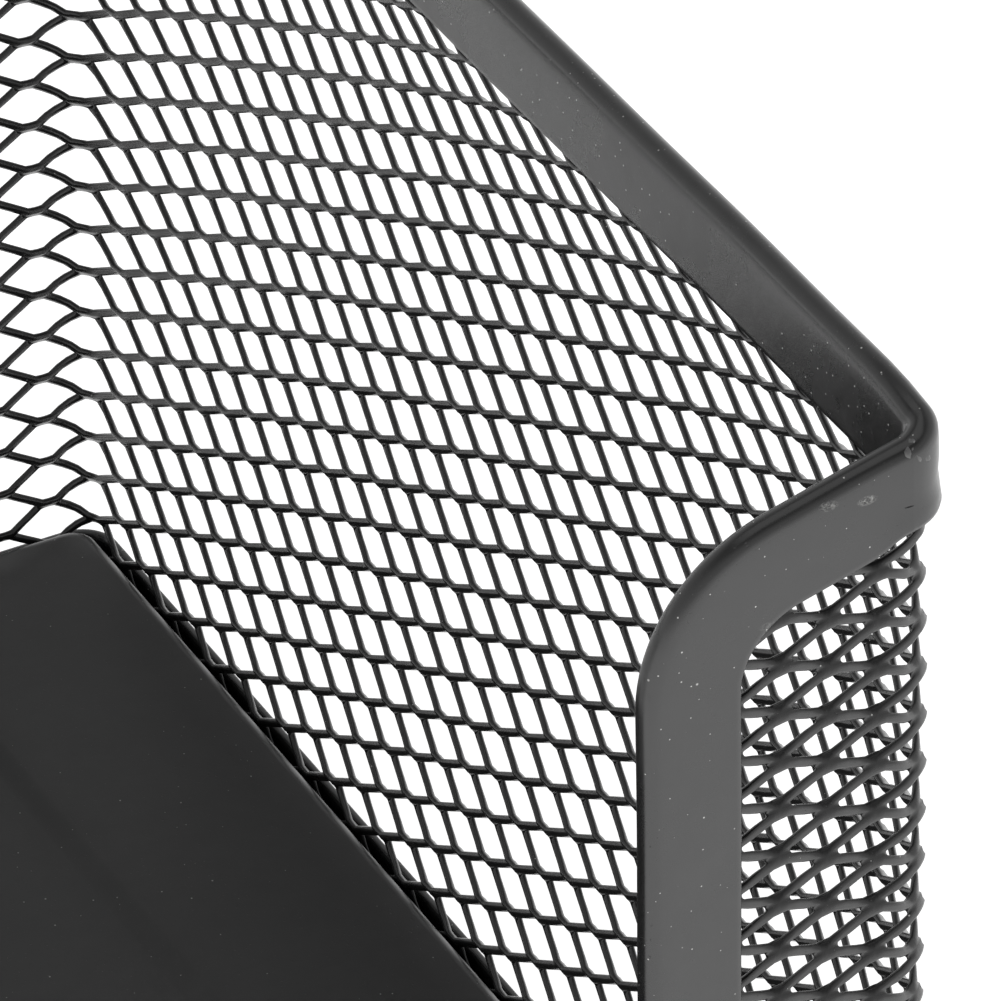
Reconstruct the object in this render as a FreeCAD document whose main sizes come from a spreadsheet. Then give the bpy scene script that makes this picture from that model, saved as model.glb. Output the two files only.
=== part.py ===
import FreeCAD, Part
import math
import os

import Sketcher
from FreeCAD import Vector

# A low square desk cup of expanded metal mesh, with a wide U-shaped notch in its front wall.
# +Z is up, the notched front faces -Y, and the origin is the middle of the underside. Millimetres.

# Driving dimensions: alias, value, what it is.
SIZES = (
    ("outer_width", 100.0, "over the side walls"),
    ("outer_depth", 100.4, "over the front and back walls"),
    ("total_height", 72.0, "table to the side rim's top"),
    ("corner_radius", 2.4, "outside of the upright corners"),
    ("rim_thickness", 1.8, "over both legs of a folded channel"),
    ("channel_sheet", 0.5, "sheet of the folded channels"),
    ("mesh_thickness", 0.8, "expanded mesh across its strands"),
    ("top_band", 5.5, "height of the top channel's legs"),
    ("bottom_band", 4.4, "height of the bottom channel's legs"),
    ("bottom_round", 0.4, "rounding of the bottom channel's fold"),
    ("notch_width", 65.2, "clear width between the notch's jambs"),
    ("shoulder_slope", 21.0, "fall of the front edge from the corner, degrees"),
    ("shoulder_radius", 10.0, "free edge where the front edge turns into the jamb"),
    ("lip_radius", 10.0, "free edge at the notch's lower corners"),
    ("lip_height", 18.0, "table to the notch's lower edge"),
    ("cell_length", 6.0, "long way of a mesh opening, bond to bond"),
    ("cell_height", 3.0, "short way of a mesh opening, bond to bond"),
    ("strand_width", 0.6, "strand across the wall's plane"),
    ("pan_top", 6.0, "table to the floor's top"),
    ("pan_sheet", 0.7, "sheet of the floor pan"),
    ("pan_flange", 4.8, "depth of the pan's turned-down flange"),
    ("pan_round", 0.7, "outside of the pan's top edge"),
    ("panel_width", 67.0, "pressed square in the floor"),
    ("panel_depth", 0.4, "how far the pressed square is sunk"),
    ("pan_weld_leg", 0.7, "legs of the triangular weld beads under the pan"),
    ("pan_weld_length", 8.0, "length of each of those beads"),
    ("pan_weld_place", 24.0, "from the middle of a side to a bead's middle"),
    ("rim_weld_radius", 0.65, "round lump over each joint of the top channels"),
    ("rim_weld_lift", 0.5, "from the channel fold's centre to the lump's centre"),
    ("seam_weld_width", 1.2, "spot welds that close the mesh strip"),
    ("seam_weld_height", 0.3, "how far those spots stand off the mesh"),
    ("seam_weld_pitch", 9.0, "from one of those spots to the next"),
    ("seam_weld_low", 10.5, "table to the lowest spot"),
)

HALF_WIDTH = "Sizes.outer_width / 2"
HALF_DEPTH = "Sizes.outer_depth / 2"
# The upright corners' centres, which are also where the flat walls end.
FLAT_X = "(Sizes.outer_width / 2 - Sizes.corner_radius)"
FLAT_Y = "(Sizes.outer_depth / 2 - Sizes.corner_radius)"
# The mesh's middle surface, which the channels straddle.
MID_X = "(Sizes.outer_width / 2 - Sizes.rim_thickness / 2)"
MID_Y = "(Sizes.outer_depth / 2 - Sizes.rim_thickness / 2)"
MID_RADIUS = "(Sizes.corner_radius - Sizes.rim_thickness / 2)"
SLOPE = "Sizes.shoulder_slope * 1 deg"
SHOULDER_X = "(Sizes.notch_width / 2 + Sizes.shoulder_radius)"
# Where the sloping front edge meets the shoulder's arc, and where that arc meets the jamb.
SLOPE_END_X = f"({SHOULDER_X} - Sizes.shoulder_radius * sin({SLOPE}))"
SLOPE_END_Z = f"(Sizes.total_height - ({FLAT_X} - {SLOPE_END_X}) * tan({SLOPE}))"
JAMB_TOP_Z = f"({SLOPE_END_Z} - Sizes.shoulder_radius * cos({SLOPE}))"
JAMB_LOW_Z = "(Sizes.lip_height + Sizes.lip_radius)"
LIP_X = "(Sizes.notch_width / 2 - Sizes.lip_radius)"

doc = FreeCAD.newDocument("MeshDeskCup")
sheet = doc.addObject("Spreadsheet::Sheet", "Sizes")
for row, (alias, value, note) in enumerate(SIZES, start=1):
    sheet.set(f"A{row}", alias)
    sheet.set(f"B{row}", str(value))
    sheet.set(f"C{row}", note)
    sheet.setAlias(f"B{row}", alias)
doc.recompute()


def size(expression):
    """The value of an expression over the sheet, as a plain number."""
    value = sheet.evalExpression(expression)
    return float(getattr(value, "Value", value))


def body(label):
    made = doc.addObject("PartDesign::Body", label)
    made.Label = label
    return made


def sketch(owner, role, name, offset=None):
    """A sketch on one of the body's own origin planes, moved along the plane's normal by offset."""
    made = owner.newObject("Sketcher::SketchObject", name)
    plane = next(f for f in owner.Origin.OriginFeatures if f.Role == role)
    made.AttachmentSupport = [(plane, "")]
    made.MapMode = "FlatFace"
    if offset:
        made.setExpression("AttachmentOffset.Base.z", offset)
    return made


def bind(target, constraint, expression):
    """Adds a constraint whose value follows the expression."""
    index = target.addConstraint(constraint)
    target.setExpression(f"Constraints[{index}]", expression)


def pin(target, geometry, end, point):
    """Ties one end of a segment to its coordinates, each given as a sign and an expression."""
    for kind, axis, (sign, expression) in zip(("DistanceX", "DistanceY"), (-2, -1), point):
        value = size(expression)
        if value == 0:
            target.addConstraint(Sketcher.Constraint("PointOnObject", geometry, end, axis))
        elif sign > 0:
            bind(target, Sketcher.Constraint(kind, -1, 1, geometry, end, value), expression)
        else:
            bind(target, Sketcher.Constraint(kind, geometry, end, -1, 1, value), expression)


def spot(point):
    """The present place of a point given as two pairs of a sign and an expression."""
    return Vector(point[0][0] * size(point[0][1]), point[1][0] * size(point[1][1]), 0)


def arc(begin, end, radius, turn):
    """The short arc from begin to end, and which of its ends (1 or 2) is begin.
    A turn of 1 goes left, -1 right."""
    chord = end - begin
    side = Vector(-chord.y, chord.x, 0).normalize() * turn
    centre = (begin + end) * 0.5 + side * math.sqrt(radius**2 - (chord.Length / 2) ** 2)
    first, last = (begin, end) if turn > 0 else (end, begin)
    angles = [math.atan2(p.y - centre.y, p.x - centre.x) for p in (first, last)]
    if angles[1] < angles[0]:
        angles[1] += 2 * math.pi
    return Part.ArcOfCircle(Part.Circle(centre, Vector(0, 0, 1), radius), *angles), 1 if turn > 0 else 2


def outline(target, points, bends, closed=True):
    """Draws segments through the points. bends[i] belongs to the segment that leaves point i:
    None for a line, or a radius expression and a turn for an arc."""
    count = len(bends)
    begins, first = [], target.GeometryCount
    for i, bend in enumerate(bends):
        begin, end = spot(points[i]), spot(points[(i + 1) % len(points)])
        if bend is None:
            target.addGeometry(Part.LineSegment(begin, end), False)
            begins.append(1)
        else:
            curve, begin_mark = arc(begin, end, size(bend[0]), bend[1])
            target.addGeometry(curve, False)
            begins.append(begin_mark)
            bind(target, Sketcher.Constraint("Radius", first + i, size(bend[0])), bend[0])
        pin(target, first + i, begins[i], points[i])
    for i in range(count if closed else count - 1):
        after = (i + 1) % count
        joint = (first + i, 3 - begins[i], first + after, begins[after])
        target.addConstraint(Sketcher.Constraint("Coincident", *joint))
    if not closed:
        pin(target, first + count - 1, 3 - begins[-1], points[-1])


def rounded_box(target, half_x, half_y, radius, inset=None):
    """A rectangle about the origin with rounded corners, with all its sides moved inwards by inset."""
    if inset:
        half_x, half_y, radius = (f"({value} - {inset})" for value in (half_x, half_y, radius))
    flat_x, flat_y = f"({half_x} - {radius})", f"({half_y} - {radius})"
    points = [
        ((1, flat_x), (-1, half_y)),
        ((1, half_x), (-1, flat_y)),
        ((1, half_x), (1, flat_y)),
        ((1, flat_x), (1, half_y)),
        ((-1, flat_x), (1, half_y)),
        ((-1, half_x), (1, flat_y)),
        ((-1, half_x), (-1, flat_y)),
        ((-1, flat_x), (-1, half_y)),
    ]
    outline(target, points, [(radius, 1), None] * 4)


def channel_section(target, middle, top, side=1):
    """A folded channel's section, open at the bottom: middle is its centre line, top its highest point,
    and side is the sign of the side of the origin that it is on."""
    outer, inner = "(Sizes.rim_thickness / 2)", "(Sizes.mesh_thickness / 2)"
    fold = f"({top} - {outer})"
    low = f"({top} - Sizes.top_band)"
    xs = [f"({middle} {shift})" for shift in (f"- {outer}", f"- {inner}", f"+ {inner}", f"+ {outer}")]
    corners = [(0, low), (0, fold), (3, fold), (3, low), (2, low), (2, fold), (1, fold), (1, low)]
    points = [((side, xs[i]), (1, z)) for i, z in corners]
    bends = [None, (outer, -side), None, None, None, (inner, side), None, None]
    outline(target, points, bends)


def pipe(owner, name, section, spine):
    made = owner.newObject("PartDesign::AdditivePipe", name)
    made.Profile = section
    made.Spine = spine
    made.Refine = False
    return made


def rim_sides_back():
    """The channel over the sides and the back: a level run with the front corners at its ends."""
    owner = body("rim_sides_back")
    spine = sketch(owner, "XY_Plane", "rim_run", "Sizes.total_height")
    points = [
        ((1, FLAT_X), (-1, MID_Y)),
        ((1, MID_X), (-1, FLAT_Y)),
        ((1, MID_X), (1, FLAT_Y)),
        ((1, FLAT_X), (1, MID_Y)),
        ((-1, FLAT_X), (1, MID_Y)),
        ((-1, MID_X), (1, FLAT_Y)),
        ((-1, MID_X), (-1, FLAT_Y)),
        ((-1, FLAT_X), (-1, MID_Y)),
    ]
    outline(spine, points, [(MID_RADIUS, 1), None] * 3 + [(MID_RADIUS, 1)], closed=False)
    section = sketch(owner, "XZ_Plane", "rim_section")
    channel_section(section, MID_X, "Sizes.total_height")
    pipe(owner, "rim_channel", section, spine)
    return owner


def rim_front():
    """The channel that binds the notch: down round the shoulder, the jamb and the lip, and up again."""
    owner = body("rim_front")
    spine = sketch(owner, "XZ_Plane", "notch_run", MID_Y)
    side = [
        (FLAT_X, "Sizes.total_height"),
        (SLOPE_END_X, SLOPE_END_Z),
        ("Sizes.notch_width / 2", JAMB_TOP_Z),
        ("Sizes.notch_width / 2", JAMB_LOW_Z),
        (LIP_X, "Sizes.lip_height"),
    ]
    points = [((1, x), (1, z)) for x, z in side] + [((-1, x), (1, z)) for x, z in reversed(side)]
    shoulder, lip = ("Sizes.shoulder_radius", 1), ("Sizes.lip_radius", -1)
    outline(spine, points, [None, shoulder, None, lip, None, lip, None, shoulder, None], closed=False)
    section = sketch(owner, "YZ_Plane", "lip_section")
    channel_section(section, MID_Y, "Sizes.lip_height", side=-1)
    pipe(owner, "notch_channel", section, spine)
    # The ends are cut upright, where the side channel's front corners begin.
    ends = sketch(owner, "XZ_Plane", "end_cuts")
    for sign in (1, -1):
        inner, outer = (sign, FLAT_X), (sign, HALF_WIDTH)
        low, high = (1, "(Sizes.total_height - 2 * Sizes.top_band)"), (1, "(2 * Sizes.total_height)")
        outline(ends, [(inner, low), (outer, low), (outer, high), (inner, high)], [None] * 4)
    cut = owner.newObject("PartDesign::Pocket", "end_trim")
    cut.Profile = ends
    cut.Type = "ThroughAll"
    cut.Midplane = True
    return owner


def bottom_rim():
    """The channel round the bottom edge: a closed ring, open upwards, with its fold on the table."""
    owner = body("bottom_rim")
    ring = sketch(owner, "XY_Plane", "ring")
    rounded_box(ring, HALF_WIDTH, HALF_DEPTH, "Sizes.corner_radius")
    rounded_box(ring, HALF_WIDTH, HALF_DEPTH, "Sizes.corner_radius", "Sizes.rim_thickness")
    pad = owner.newObject("PartDesign::Pad", "ring_pad")
    pad.Profile = ring
    pad.setExpression("Length", "Sizes.bottom_band")
    groove = sketch(owner, "XY_Plane", "mesh_groove", "Sizes.bottom_band")
    for inset in ("Sizes.channel_sheet", "(Sizes.channel_sheet + Sizes.mesh_thickness)"):
        rounded_box(groove, HALF_WIDTH, HALF_DEPTH, "Sizes.corner_radius", inset)
    slot = owner.newObject("PartDesign::Pocket", "groove_cut")
    slot.Profile = groove
    slot.setExpression("Length", "Sizes.bottom_band - Sizes.channel_sheet")
    doc.recompute()
    low = [
        f"Edge{i}"
        for i, edge in enumerate(slot.Shape.Edges, start=1)
        if edge.BoundBox.ZMax < size("Sizes.channel_sheet / 2")
    ]
    fold = owner.newObject("PartDesign::Fillet", "fold_round")
    fold.Base = (slot, low)
    fold.setExpression("Radius", "Sizes.bottom_round")
    return owner


def base_pan():
    """The floor: a pressed sheet pan with a turned-down flange and a sunken square panel."""
    owner = body("base_pan")
    side_x, side_y = (f"({half} - Sizes.rim_thickness)" for half in (HALF_WIDTH, HALF_DEPTH))
    corner = "(Sizes.corner_radius - Sizes.rim_thickness + Sizes.pan_round)"
    blank = sketch(owner, "XY_Plane", "pan_outline", "Sizes.pan_top - Sizes.pan_flange")
    rounded_box(blank, side_x, side_y, corner)
    pad = owner.newObject("PartDesign::Pad", "pan_block")
    pad.Profile = blank
    pad.setExpression("Length", "Sizes.pan_flange")
    doc.recompute()
    top = [
        f"Edge{i}"
        for i, edge in enumerate(pad.Shape.Edges, start=1)
        if edge.BoundBox.ZMin > size("Sizes.pan_top") - size("Sizes.pan_sheet") / 2
    ]
    rounding = owner.newObject("PartDesign::Fillet", "pan_edge")
    rounding.Base = (pad, top)
    rounding.setExpression("Radius", "Sizes.pan_round")
    panel = sketch(owner, "XY_Plane", "panel_outline", "Sizes.pan_top")
    rounded_box(panel, "(Sizes.panel_width / 2)", "(Sizes.panel_width / 2)", "Sizes.corner_radius")
    press = owner.newObject("PartDesign::Pocket", "panel_press")
    press.Profile = panel
    press.setExpression("Length", "Sizes.panel_depth")
    under = sketch(owner, "XY_Plane", "underside", "Sizes.pan_top - Sizes.pan_flange")
    rounded_box(under, side_x, side_y, corner, "Sizes.pan_sheet")
    hollow = owner.newObject("PartDesign::Pocket", "underside_cut")
    hollow.Profile = under
    hollow.Reversed = True
    hollow.setExpression("Length", "Sizes.pan_flange - Sizes.pan_sheet - Sizes.panel_depth")
    margin = sketch(owner, "XY_Plane", "margin", "Sizes.pan_top - Sizes.pan_sheet - Sizes.panel_depth")
    rounded_box(margin, side_x, side_y, corner, "Sizes.pan_sheet")
    pressed = "(Sizes.panel_width / 2 + Sizes.pan_sheet)"
    rounded_box(margin, pressed, pressed, "(Sizes.corner_radius + Sizes.pan_sheet)")
    relief = owner.newObject("PartDesign::Pocket", "margin_cut")
    relief.Profile = margin
    relief.Reversed = True
    relief.setExpression("Length", "Sizes.panel_depth")
    return owner


def feature(label, solids):
    """A sub-part whose shape is worked out here from the sheet's values."""
    made = doc.addObject("Part::Feature", label)
    made.Label = label
    made.Shape = solids[0] if len(solids) == 1 else Part.makeCompound(solids)
    made.Placement = FreeCAD.Placement()
    return made


def front_outline(inset):
    """The front wall's outline on its middle plane, with its free edge moved inwards by inset."""
    slope = math.radians(size("Sizes.shoulder_slope"))
    flat, shoulder, lip = size(FLAT_X), size("Sizes.shoulder_radius"), size("Sizes.lip_radius")
    centre_x, centre_z = size(SHOULDER_X), size(JAMB_TOP_Z)
    lip_x, lip_z = size(LIP_X), size(JAMB_LOW_Z)
    bottom = size("Sizes.channel_sheet")
    start_z = size("Sizes.total_height") - inset / math.cos(slope)

    def turn(x, z, radius, degrees):
        """Three points on the arc about (x, z), at the angles from +X towards +Z."""
        angles = [math.radians(d) for d in degrees]
        return [(x + radius * math.cos(a), z + radius * math.sin(a)) for a in angles]

    slope_degrees = math.degrees(slope)
    upper = turn(centre_x, centre_z, shoulder - inset, (90 + slope_degrees, 135 + slope_degrees / 2, 180))
    lower = turn(lip_x, lip_z, lip + inset, (0, -45, -90))
    upright = [(flat, bottom), (flat, start_z)]
    half = [upright, [upright[1], upper[0]], upper, [upper[2], lower[0]], lower]
    other = [[(-x, z) for x, z in reversed(run)] for run in reversed(half)]
    lip_edge = [lower[2], (-lower[2][0], lower[2][1])]
    foot_edge = [(-flat, bottom), (flat, bottom)]
    runs = half + [lip_edge] + other + [foot_edge]
    middle_y = -size(MID_Y)
    edges = []
    for run in runs:
        spots = [Vector(x, middle_y, z) for x, z in run]
        curve = Part.LineSegment(*spots) if len(spots) == 2 else Part.Arc(*spots)
        edges.append(curve.toShape())
    return Part.Wire(edges)


def wall_outline(half_span):
    """A plain wall's outline, drawn on the front wall's middle plane."""
    low = size("Sizes.channel_sheet")
    high = size(f"Sizes.total_height - Sizes.rim_thickness / 2 / cos({SLOPE})")
    corners = [(-half_span, low), (half_span, low), (half_span, high), (-half_span, high)]
    return Part.makePolygon([Vector(x, -size(MID_Y), z) for x, z in corners + corners[:1]])


def mesh_openings(half_span, is_open):
    """The rhombic openings of one wall, on the front wall's middle plane, in staggered rows."""
    half_cell, half_rise = size("Sizes.cell_length / 2"), size("Sizes.cell_height / 2")
    strand_pitch = 2 * half_cell * half_rise / math.hypot(half_cell, half_rise)
    share = 1 - size("Sizes.strand_width") / strand_pitch
    half_x, half_z = share * half_cell, share * half_rise
    low = size("Sizes.bottom_band")
    columns = int((half_span - half_x) / half_cell)
    rows = int((size("Sizes.total_height") - low) / half_rise)
    wires = []
    for column in range(-columns, columns + 1):
        for row in range(column % 2, rows, 2):
            middle = Vector(column * half_cell, -size(MID_Y), low + (row + 0.5) * half_rise)
            if not is_open(middle):
                continue
            across, up = Vector(half_x, 0, 0), Vector(0, 0, half_z)
            corners = [middle + across, middle + up, middle - across, middle - up]
            wires.append(Part.makePolygon(corners + corners[:1]))
    return wires


def wall(outer, openings, reach):
    """A flat wall of mesh with its thickness, its middle plane at the distance reach from the origin."""
    face = Part.Face([outer] + openings)
    face.validate()
    thickness = size("Sizes.mesh_thickness")
    face.translate(Vector(0, size(MID_Y) - reach - thickness / 2, 0))
    return face.extrude(Vector(0, thickness, 0))


def upright_corner(angle):
    """The plain bend between two walls: a quarter of a tube, turned to its corner."""
    middle, thickness = size(MID_RADIUS), size("Sizes.mesh_thickness")
    low = size("Sizes.channel_sheet")
    height = size(f"Sizes.total_height - Sizes.rim_thickness / 2 / cos({SLOPE})") - low
    outer = Part.makeCylinder(middle + thickness / 2, height, Vector(0, 0, low), Vector(0, 0, 1), 90)
    inner = Part.makeCylinder(middle - thickness / 2, height, Vector(0, 0, low), Vector(0, 0, 1), 90)
    bend = outer.cut(inner)
    bend.rotate(Vector(), Vector(0, 0, 1), angle)
    turn = math.radians(angle + 45)
    place_x = math.copysign(size(FLAT_X), math.cos(turn))
    place_y = math.copysign(size(FLAT_Y), math.sin(turn))
    bend.translate(Vector(place_x, place_y, 0))
    return bend


def mesh_wrap():
    """The expanded metal: one strip round the four corners, with its front wall cut out at the notch."""
    flat_x, flat_y, mid_x, mid_y = (size(e) for e in (FLAT_X, FLAT_Y, MID_X, MID_Y))
    high = size("Sizes.total_height - Sizes.top_band")
    open_front = Part.Face(front_outline(size("Sizes.top_band")))

    def below_rim(point):
        return point.z < high

    def below_notch(point):
        return open_front.isInside(point, 0.01, True)

    hidden_edge = front_outline(size("Sizes.rim_thickness / 2"))
    pieces = [wall(hidden_edge, mesh_openings(flat_x, below_notch), mid_y)]
    for angle, half_span, reach in ((90, flat_y, mid_x), (180, flat_x, mid_y), (270, flat_y, mid_x)):
        side = wall(wall_outline(half_span), mesh_openings(half_span, below_rim), reach)
        side.rotate(Vector(), Vector(0, 0, 1), angle)
        pieces.append(side)
    pieces += [upright_corner(angle) for angle in (0, 90, 180, 270)]
    joined = pieces[0].multiFuse(pieces[1:])
    return feature("mesh_wrap", joined.Solids)


def rim_weld_beads(front, sides):
    """The rough lumps on the rim where the two top channels butt together, one at each front corner."""
    out = size("Sizes.rim_weld_lift") / math.sqrt(2)
    fold_z = size("Sizes.total_height - Sizes.rim_thickness / 2")
    lumps = []
    for sign in (1, -1):
        middle = Vector(sign * size(FLAT_X), -size(MID_Y) - out, fold_z + out)
        ball = Part.makeSphere(size("Sizes.rim_weld_radius"), middle)
        outside = ball.cut([front.Shape, sides.Shape]).Solids
        lumps.append(max(outside, key=lambda solid: solid.Volume))
    return feature("rim_weld_beads", lumps)


def pan_weld_beads():
    """Short triangular beads under the pan, two to a side, between its flange and the bottom channel."""
    leg, length = size("Sizes.pan_weld_leg"), size("Sizes.pan_weld_length")
    flange_z = size("Sizes.pan_top - Sizes.pan_flange")
    beads = []
    for angle, reach in ((0, HALF_WIDTH), (90, HALF_DEPTH), (180, HALF_WIDTH), (270, HALF_DEPTH)):
        face_x = size(f"{reach} - Sizes.rim_thickness")
        for place in (-size("Sizes.pan_weld_place"), size("Sizes.pan_weld_place")):
            corner = Vector(face_x, place - length / 2, flange_z)
            ends = [corner, corner - Vector(leg, 0, 0), corner - Vector(0, 0, leg)]
            section = Part.makePolygon(ends + ends[:1])
            bead = Part.Face(section).extrude(Vector(0, length, 0))
            bead.rotate(Vector(), Vector(0, 0, 1), angle)
            beads.append(bead)
    return feature("pan_weld_beads", beads)


def mesh_seam_welds():
    """Spot welds up the middle of the back wall, where the strip's two ends lap."""
    spots = []
    span = "(Sizes.total_height - Sizes.top_band - Sizes.seam_weld_low)"
    for i in range(int(size(f"{span} / Sizes.seam_weld_pitch")) + 1):
        spot_weld = doc.addObject("Part::Cylinder", f"seam_spot_{i + 1}")
        spot_weld.setExpression("Radius", "Sizes.seam_weld_width / 2")
        spot_weld.setExpression("Height", "Sizes.seam_weld_height")
        spot_weld.Placement.Rotation = FreeCAD.Rotation(Vector(1, 0, 0), 90)
        spot_weld.setExpression("Placement.Base.y", f"{MID_Y} - Sizes.mesh_thickness / 2")
        spot_weld.setExpression("Placement.Base.z", f"Sizes.seam_weld_low + {i} * Sizes.seam_weld_pitch")
        spots.append(spot_weld)
    group = doc.addObject("Part::Compound", "mesh_seam_welds")
    group.Label = "mesh_seam_welds"
    group.Links = spots
    return group


front, sides = rim_front(), rim_sides_back()
parts = [front, sides, bottom_rim(), base_pan(), mesh_wrap(), pan_weld_beads(), mesh_seam_welds()]
doc.recompute()
parts.append(rim_weld_beads(front, sides))
doc.recompute()

for item in doc.Objects:
    if "Invalid" in item.State or "Error" in item.State:
        raise RuntimeError(f"{item.Label} failed: {item.State}")
os.makedirs("parts", exist_ok=True)
for item in parts:
    if item.Shape.isNull() or not item.Shape.isValid():
        raise RuntimeError(f"{item.Label} has no valid shape")
    item.Shape.exportStep(f"parts/{item.Label}.step")
    print(item.Label, len(item.Shape.Solids), "solids,", round(item.Shape.Volume, 1), "cubic mm")
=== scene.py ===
import math

import bpy
import numpy as np
from mathutils import Matrix, Vector


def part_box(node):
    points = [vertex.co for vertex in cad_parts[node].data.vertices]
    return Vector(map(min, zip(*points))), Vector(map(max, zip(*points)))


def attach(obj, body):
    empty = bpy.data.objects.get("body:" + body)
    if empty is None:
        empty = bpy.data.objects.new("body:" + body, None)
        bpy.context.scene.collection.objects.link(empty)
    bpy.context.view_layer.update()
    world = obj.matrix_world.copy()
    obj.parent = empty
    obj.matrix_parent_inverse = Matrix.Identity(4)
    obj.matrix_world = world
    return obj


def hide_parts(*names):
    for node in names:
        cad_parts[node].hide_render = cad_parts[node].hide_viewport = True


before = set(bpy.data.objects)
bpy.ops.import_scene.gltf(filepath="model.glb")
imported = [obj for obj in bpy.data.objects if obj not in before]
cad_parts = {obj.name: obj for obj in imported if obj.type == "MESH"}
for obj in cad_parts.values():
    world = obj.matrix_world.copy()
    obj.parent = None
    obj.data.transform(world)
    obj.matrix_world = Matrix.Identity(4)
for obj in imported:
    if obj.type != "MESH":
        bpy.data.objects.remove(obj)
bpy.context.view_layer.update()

# A square desk cup of expanded metal mesh with folded channels on its edges and a pressed floor pan. A wide
# notch is cut out of its front wall. Sizes are in millimetres, and make_object turns them into metres.
MM = 0.001


def node_box(name):
    low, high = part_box(name)
    return np.array(low) / MM, np.array(high) / MM


SIDES_HIGH = node_box("rim_sides_back")[1]
PAN_LOW, PAN_HIGH = node_box("base_pan")
RING_HIGH = node_box("bottom_rim")[1]

# The folded channels.
FOLD = 0.9                                  # outside radius of the fold
SHEET = 0.5                                 # channel sheet
LEG = 5.4                                   # ridge to the legs' lower edge
MID_X = SIDES_HIGH[0] - FOLD                # the walls' middle planes
MID_Y = SIDES_HIGH[1] - FOLD
BEND = 1.5                                  # upright corners, on the channel's middle line
TOP_Z = SIDES_HIGH[2]
RIM_STATIONS = (0.93, 0.8, 0.62, 0.45, 0.3)   # where a leg's outside has points, as shares of its depth

# The free edge of the front wall: down a slope from the corner, round a shoulder, down the jamb to the lip.
SLOPE = math.radians(14.6)
CORNER_TOP = 70.72                          # ridge of the front channel at the butt joint
SHOULDER = 9.85                             # radius
JAMB_X = 32.63
LIP_Z = 18.0
LIP_RADIUS = 10.0
UPRIGHT_LENGTH = 4.0                        # the front channel leans over from upright within this length

# The front corners, where the front channel butts against the side channel.
CORNER_REACH = 2.2                          # how far along the rim the bent corner shows
CORNER_SHORT = 0.35                         # the legs are this much shorter there,
CORNER_FLARE = 0.16                         # the outer leg's edge is turned out by this
CORNER_FULL = 0.1                           # and the outer side is this much fuller
JOINT_TO_BEND = 1.2                         # from the butt joint to the middle of the bend
PINCH, PINCH_REACH = 0.12, 0.7              # share that the inner side is pressed in by at the bend
DIP_LENGTH, DIP_POWER = 7.16, 2.3           # the side channel dips towards the butt joint

# The expanded mesh: half a cell along the strip and up the wall, and where one opening is.
CELL_S, CELL_Z = 3.026, 1.47
ANCHOR_S, ANCHOR_Z = 100.547, 32.476
MESH_BEND = 1.8                                 # upright corners of the mesh
MESH_SHEET = 0.4
OPEN_U, OPEN_V, OPEN_ROUND = 2.25, 1.06, 0.16   # an opening's half sizes and corner radius in the sheet
OPEN_FLAT = 0.37                                # half of its straight edge along a bond
BOND_END = 0.15                                 # share of a strand taken up by the bond at either end
BOND_TILT, STRAND_TILT = math.radians(40), math.radians(35)
STRAND_SWAY = 0.12                              # a strand's ends lie this far in and out of the wall,
STRAND_DROP = 0.07                              # and this far below and above the line from bond to bond
MESH_HIDDEN = 1.3                               # ridge to the mesh's edge, within a channel
MESH_LOW = 2.0                                  # the mesh's lower edge, within the bottom channel
HALF_STRIP = 2 * (MID_X - MESH_BEND) + 2 * (MID_Y - MESH_BEND) + math.pi * MESH_BEND

# How far the right wall swells outwards at its middle, by height, and the other walls' shares of that. The
# values are read off a curve that was fitted to the openings' places in the photo. The upper ones are
# lowered.
SWELL_Z = (4.4, 15.1, 25.7, 36.3, 46.9, 54.0, 59.0, 62.5, 65.0, 66.6)
SWELL = (0.0, 0.98, 1.88, 2.45, 2.55, 2.4, 1.9, 1.2, 0.45, 0.0)
SWELL_LEFT, SWELL_BACK, SWELL_FRONT = 0.3, 0.35, 0.15
STIFF_X, STIFF_Y = 48.0, 49.5                   # the swell has died out at these places along a wall


def smooth(t):
    t = np.clip(t, 0, 1)
    return t * t * (3 - 2 * t)


def hump(t, middle, reach):
    """1 at the middle, falling smoothly to 0 on both sides."""
    return math.exp(-(((t - middle) / reach) ** 2))


def waver(t, seed, size):
    """A slow unevenness along a run, from a few fixed waves."""
    rng = np.random.default_rng(seed)
    total = np.zeros_like(np.asarray(t, float))
    for wave, phase in zip((17.0, 29.0, 41.0), rng.uniform(0, 2 * math.pi, 3)):
        total = total + np.sin(t * 2 * math.pi / wave + phase)
    return total * size / 3


def outward(points, faces):
    """The faces of a closed form, turned so that they look out of it."""
    points = np.asarray(points, float)
    volume = 0.0
    for face in faces:
        for second, third in zip(face[1:], face[2:]):
            volume += points[face[0]] @ np.cross(points[second], points[third])
    return faces if volume > 0 else [face[::-1] for face in faces]


def sharpen_caps(mesh):
    """Flat ends keep an edge of their own, so that the shading of a run isn't bent towards them."""
    for polygon in mesh.polygons:
        if polygon.loop_total > 4:
            polygon.use_smooth = False
            for loop in polygon.loop_indices:
                mesh.edges[mesh.loops[loop].edge_index].use_edge_sharp = True


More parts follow.
